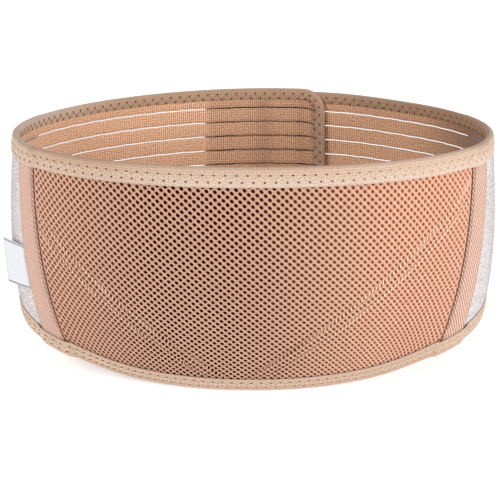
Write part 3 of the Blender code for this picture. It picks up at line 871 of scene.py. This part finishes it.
def make_binding():
    """The folded strip: round over the edge, drawn in along its rows of stitches."""
    run = PATH_RUN[:-1]
    top = stack_top(PATH[:, 0])
    inner, outer = -GAP, top + GAP
    half = (outer - inner) / 2 + BINDING_THICKNESS
    middle = (outer + inner) / 2
    fold = np.minimum(half, BINDING_FOLD)
    swell = pucker(run)
    thick = BINDING_THICKNESS
    outline = [
        (BINDING_INNER_WIDTH, inner - 0.25 * thick),
        (BINDING_INNER_WIDTH - 0.0006, inner - 0.9 * thick),
        (INNER_ROW_FAR, inner - 0.72 * thick),
        ((INNER_ROW_FAR + INNER_ROW_NEAR) / 2, inner - 1.05 * thick + swell),
        (INNER_ROW_NEAR, inner - 0.78 * thick),
    ]
    for turn in np.radians(np.arange(-90, 91, 22.5)):
        outline.append((fold * (1 - math.cos(turn)), middle + half * math.sin(turn)))
    outline += [
        (0.0045, outer + 1.0 * thick + 0.5 * swell),
        (BINDING_ROW_NEAR, outer + 0.74 * thick),
        ((BINDING_ROW_NEAR + BINDING_ROW_FAR) / 2, outer + 1.08 * thick - swell),
        (BINDING_ROW_FAR, outer + 0.70 * thick),
        (0.0128, outer + 0.95 * thick + swell),
        (BINDING_OUTER_WIDTH - 0.0004, outer + 0.85 * thick + swell),
        (BINDING_OUTER_WIDTH, outer + 0.3 * thick),
        (BINDING_OUTER_WIDTH - 0.0002, outer),
        (0.0034, outer),
        (0.0012, middle),
        (0.0034, inner),
        (BINDING_INNER_WIDTH - 0.0002, inner),
    ]
    outline = [(np.broadcast_to(into, run.shape), np.broadcast_to(out, run.shape)) for into, out in outline]
    flat = np.stack([on_binding(run, into, out) for into, out in outline], axis=1)
    ends = np.stack([np.stack([into, out], axis=-1) for into, out in outline], axis=1)
    girth = np.cumsum(np.linalg.norm(np.diff(ends, axis=1, prepend=ends[:, :1]), axis=-1), axis=1)
    uv = np.stack([np.broadcast_to(run[:, None], girth.shape), girth], axis=-1)

    # Painted shade: the strip is deepest on its inner side and along the bottom, from where the shade fades
    # over the fold; it is painted lighter at the left back and darker at the left front and right back
    fading_out = [0.95, 0.9, 0.8, 0.7, 0.6, 0.55, 0.5, 0.45, 0.4, 0.25, 0.05, 0, 0, 0, 0]
    across = np.array([1.0] * 7 + fading_out + [1.0] * (len(outline) - 7 - len(fading_out)))
    at_bottom = (PATH[:, 3] < -0.5)[:, None]
    along = PATH[:, :1]
    inside = BINDING_INSIDE_PAINTED_SHADE + shade("binding_left_back", along) * (along < -JOINT)
    inside += shade("binding_right_back", along) * (along > JOINT)
    outside = BINDING_PAINTED_SHADE + shade("binding_left_front", along) * (along > -TAPE_END - 0.05)
    bottom = BINDING_BOTTOM_PAINTED_SHADE + BINDING_BOTTOM_INSIDE_PAINTED_SHADE * across
    painted_shade = np.where(at_bottom, bottom, inside * across + outside)
    return loft("edge_binding_tape", flat, ["binding_cloth"], ring=True, uv=uv, painted_shade=painted_shade)


def make_binding_stitches():
    """Tone-on-tone zigzag with a pinhole just past every turn, on both faces of the binding."""
    count = round(PATH_LENGTH / BINDING_PITCH)
    near_run = np.arange(count) * PATH_LENGTH / count
    far_run = near_run + PATH_LENGTH / count / 2
    threads, holes, tones = [], [], []
    rows = [
        {"near": BINDING_ROW_NEAR, "far": BINDING_ROW_FAR, "outside": True},
        {"near": INNER_ROW_NEAR, "far": INNER_ROW_FAR, "outside": False},
    ]
    for row in rows:
        corners = []
        for run, into in ((near_run, row["near"]), (far_run, row["far"])):
            top = stack_top(on_binding(run, into, run * 0)[:, 0])
            if row["outside"]:
                out = top + GAP + 0.80 * BINDING_THICKNESS
            else:
                out = np.full_like(run, -GAP - 0.82 * BINDING_THICKNESS)
            corners.append(on_binding(run, into, out))
            past = PINHOLE if into > row["near"] else -PINHOLE
            holes.append((on_binding(run, into + 0.45 * past, out), row["outside"]))
        starts, ends = zigzag(*corners)
        lift = 0.00036 if row["outside"] else -0.00036
        threads.append(stitch_paths(starts, ends, lift))
        # Painted shade: the stitches on the inner face are darker
        tones.append(np.full(len(starts), 0.0 if row["outside"] else 1.0))
    stitches = tubes(
        "binding_stitches", np.concatenate(threads), TAPE_THREAD, "thread_beige", sides=6, taper=0.6,
        painted_shade=np.concatenate(tones), flatness=THREAD_FLATNESS)
    return stitches, make_pinholes(holes)


def make_pinholes(holes):
    """Small dents where the needle went in, dark with painted shade that fades towards the right front."""
    paths, tones = [], []
    for corner, outside in holes:
        sign = 1 if outside else -1
        # Painted shade: outside pinholes fade out towards the right front; inside ones stay darkest
        tones.append(shade("pinholes", corner[:, 0]) if outside else np.ones(len(corner)))
        low, high = corner.copy(), corner.copy()
        low[:, 2] -= sign * 0.0003
        high[:, 2] += sign * 0.00014
        paths.append(np.stack([low, high], axis=1))
    paths = np.concatenate(paths)
    points = wrap(paths)
    axis = unit(points[:, 1] - points[:, 0])
    helper = np.where(np.abs(axis[:, 2:3]) < 0.9, [[0, 0, 1.0]], [[1.0, 0, 0]])
    beside = unit(np.cross(axis, helper))
    other = np.cross(axis, beside)
    turn = np.arange(PINHOLE_SIDES) * 2 * math.pi / PINHOLE_SIDES
    circle = beside[:, None] * np.cos(turn)[:, None] + other[:, None] * np.sin(turn)[:, None]
    rings = points[:, :, None, :] + circle[:, None] * PINHOLE
    corners = 2 * PINHOLE_SIDES
    bases = np.arange(len(paths)) * corners
    faces = (grid_faces(2, PINHOLE_SIDES, False)[None] + bases[:, None, None]).reshape(-1, 4).tolist()
    for base in bases.tolist():
        faces += end_faces(base, base + PINHOLE_SIDES, PINHOLE_SIDES)
    painted_shade = np.repeat(np.concatenate(tones), corners)
    return add_mesh("binding_pinholes", rings, faces, ["pinhole_shade"], rings[..., [0, 2]], painted_shade=painted_shade)


# Details

def make_seam_cords_and_shade():
    """The dark seam where each tape is sewn onto the mesh: the thread, with painted shade of the groove at
    the tape's edge.
    """
    paths = []
    for side in (-1, 1):
        along = np.full(60, side * (TAPE_START - 0.0005))
        bottom = float(wall_length(TAPE_START)) - BINDING_OUTER_WIDTH + 0.003
        down = np.linspace(BINDING_OUTER_WIDTH - 0.003, bottom, 60)
        out = np.full(60, MESH_THICKNESS + 0.0002)
        paths.append(np.stack([along, down, out], axis=-1))
    return tubes("tape_seam_cords_and_shade", np.array(paths), THREAD, "thread_brown", sides=6)


def make_edge_stitches():
    """Straight stitches along the tapes' edges and a zigzag at the rear edge of the loop panels."""
    starts, ends = [], []
    bottom = float(wall_length(TAPE_END)) - BINDING_OUTER_WIDTH
    down = np.arange(BINDING_OUTER_WIDTH + 0.001, bottom - 0.003, 0.0034)
    for side in (-1, 1):
        for along, out in ((TAPE_START + 0.0016, TAPE_STACK), (TAPE_END - 0.0018, TAPE_STACK)):
            start = np.stack([np.full_like(down, side * along), down, np.full_like(down, out)], axis=-1)
            end = start.copy()
            end[:, 1] += 0.0024
            starts.append(start)
            ends.append(end)
        turns = np.arange(BINDING_OUTER_WIDTH, WING_HEIGHT - BINDING_OUTER_WIDTH, 0.0018)
        on_panel = np.arange(len(turns)) % 2 == 0
        across = LOOP_PANEL_END + np.where(on_panel, -0.0018, 0.0008)
        out = np.where(on_panel, LOOP_STACK, ELASTIC_THICKNESS + 0.0002)
        flat = np.stack([side * across, turns, out], axis=-1)
        starts.append(flat[:-1])
        ends.append(flat[1:])
    paths = stitch_paths(np.concatenate(starts), np.concatenate(ends), 0.0002)
    return tubes("panel_stitches", paths, THREAD, "thread_beige", taper=0.6)


def make_pile(name, side):
    """Tiny loops of brushed pile that stand off the loop panel."""
    count = LOOPS_A_PANEL
    random = np.random.default_rng(11 if side > 0 else 12)
    along = random.uniform(TAPE_END - 0.0005, LOOP_PANEL_END - 0.001, count)
    down = BINDING_OUTER_WIDTH - 0.001
    down = down + random.random(count) * (wall_length(along) - 2 * BINDING_OUTER_WIDTH + 0.002)
    heading = random.uniform(0, 2 * math.pi, count)
    span = random.uniform(0.0006, 0.0014, count)
    height = random.uniform(0.0003, 0.0011, count)
    share = np.array([-0.5, 0.0, 0.5])
    rise = np.array([0.0, 1.0, 0.0])
    run = side * along[:, None] + np.cos(heading)[:, None] * span[:, None] * share
    fall = down[:, None] + np.sin(heading)[:, None] * span[:, None] * share
    out = LOOP_STACK - 0.0002 + height[:, None] * rise
    width = np.array([-1, 1]) * 0.00010
    flat = np.stack([
        run[..., None] - np.sin(heading)[:, None, None] * width,
        fall[..., None] + np.cos(heading)[:, None, None] * width,
        np.broadcast_to(out[..., None], (count, 3, 2)),
    ], axis=-1)
    base = (np.arange(count) * 6)[:, None, None]
    faces = (base + np.array([[0, 1, 3, 2], [2, 3, 5, 4]])).reshape(-1, 4)
    return add_mesh(name, wrap(flat), faces, ["loop_pile"], flat[..., :2])


def make_label():
    """A small bare label that stands off the left side, with a line near its upper and lower edge."""
    root = -(TAPE_END + GAP)
    share = np.linspace(1, 0, 13)
    along = root - LABEL_LENGTH * share
    out = TAPE_INNER + LABEL_LIFT * share ** 1.4
    rows = LABEL_TOP + LABEL_HEIGHT * np.array([0, 0.015, 0.045, 0.25, 0.5, 0.75, 0.95, 0.985, 1])
    downs = np.broadcast_to(rows, (len(along), len(rows)))
    down, thick = sheet_section(downs, 0.0, LABEL_THICKNESS, 0.0002)
    flat = np.stack([np.broadcast_to(along[:, None], down.shape), down, out[:, None] + thick], axis=-1)
    count = len(rows)
    corner_cloths = [0, 1, 0, 0, 0, 0, 1, 0] + [0] * (count + 1)
    return loft("bare_label", flat, ["label_satin", "label_edge"], corner_cloths=corner_cloths)


# Stage

def make_camera():
    data = bpy.data.cameras.new("camera")
    camera = bpy.data.objects.new("camera", data)
    bpy.context.scene.collection.objects.link(camera)
    back = Vector((0, -math.cos(CAMERA_ELEVATION), math.sin(CAMERA_ELEVATION)))
    camera.location = LEAN @ (CAMERA_TARGET + back * CAMERA_DISTANCE) + GROUND_SHIFT
    camera.rotation_euler = (LEAN @ -back).to_track_quat("-Z", "Y").to_euler()
    data.sensor_width = 36
    data.lens = FOCAL_SHARE * 36
    data.shift_x = CAMERA_SHIFT
    bpy.context.scene.camera = camera


def make_light(name, place, target, size, power):
    data = bpy.data.lights.new(name, "AREA")
    data.shape = "DISK"
    data.size = size
    data.energy = power
    light = bpy.data.objects.new(name, data)
    light.location = place
    light.rotation_euler = (Vector(target) - Vector(place)).to_track_quat("-Z", "Y").to_euler()
    bpy.context.scene.collection.objects.link(light)


def make_stage():
    world = bpy.data.worlds.new("studio")
    world.use_nodes = True
    world.node_tree.nodes["Background"].inputs["Color"].default_value = (1, 1, 1, 1)
    world.node_tree.nodes["Background"].inputs["Strength"].default_value = 0.55
    bpy.context.scene.world = world
    bpy.context.scene.view_settings.view_transform = "Standard"
    turns = np.arange(64) * 2 * math.pi / 64
    corners = np.stack([20 * np.cos(turns), 20 * np.sin(turns), turns * 0], axis=-1)
    mesh = bpy.data.meshes.new("floor")
    mesh.from_pydata(corners.tolist(), [], [list(range(64))])
    material = bpy.data.materials.new("pale_floor")
    material.use_nodes = True
    shader = material.node_tree.nodes["Principled BSDF"]
    shader.inputs["Base Color"].default_value = (0.95, 0.95, 0.95, 1)
    shader.inputs["Roughness"].default_value = 0.9
    shader.inputs["Emission Color"].default_value = (1, 1, 1, 1)
    shader.inputs["Emission Strength"].default_value = 0.35
    mesh.materials.append(material)
    floor = bpy.data.objects.new("floor", mesh)
    bpy.context.scene.collection.objects.link(floor)
    make_light("key", (1.9, -1.2, 0.85), (0, 0, 0.1), 0.9, 43)
    make_light("fill", (-2.2, -0.6, 0.12), (0, 0, 0.1), 0.5, 20)
    make_light("high_fill", (-1.3, -1.3, 1.5), (0.1, 0.1, 0.15), 0.7, 20)


# Everything

make_camera()
make_stage()
face = make_mesh_face()
lining = make_mesh_lining()
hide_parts("front_mesh_panel")
v_stitches = make_v_stitches()
for side_name, side in (("left", -1), ("right", 1)):
    selvedge = make_plain_sheet(
        side_name + "_mesh_selvedge", side * (TAPE_START - 0.0007), side * (JOINT - GAP), HOLE_FLOOR,
        MESH_THICKNESS - 0.00015, "mesh_yarn", 0.0)
    tape = make_plain_sheet(
        side_name + "_twill_tape", side * TAPE_START, side * TAPE_END, TAPE_INNER, TAPE_STACK,
        "tape_twill", 0.0004, step=0.0018, pressed=TAPE_INNER - MESH_THICKNESS - 0.0001)
    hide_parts(side_name + "_seam_tape")
    panel = make_plain_sheet(
        side_name + "_pile_ground", side * (JOINT + GAP), side * LOOP_PANEL_END, LOOP_INNER, LOOP_STACK,
        "loop_pile", 0.0004)
    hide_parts(side_name + "_loop_panel")
    pile = make_pile(side_name + "_pile_loops", side)
    past_back = RIGHT_WING_PAST_BACK if side > 0 else LEFT_WING_PAST_BACK
    wing, wing_threads = make_wing(side_name + "_woven_wing", side, past_back)
    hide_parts(side_name + "_elastic_wing")
binding = make_binding()
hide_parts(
    "front_top_binding", "front_bottom_binding", "left_wing_binding", "right_wing_binding")
on_tape = make_binding_stitches()
for piece in (make_seam_cords_and_shade(), make_edge_stitches()):
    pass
label = make_label()
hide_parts("side_label")
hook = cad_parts["hook_patch"]
hook.data.materials.clear()
hook.data.materials.append(MATERIALS["hook_tape"])
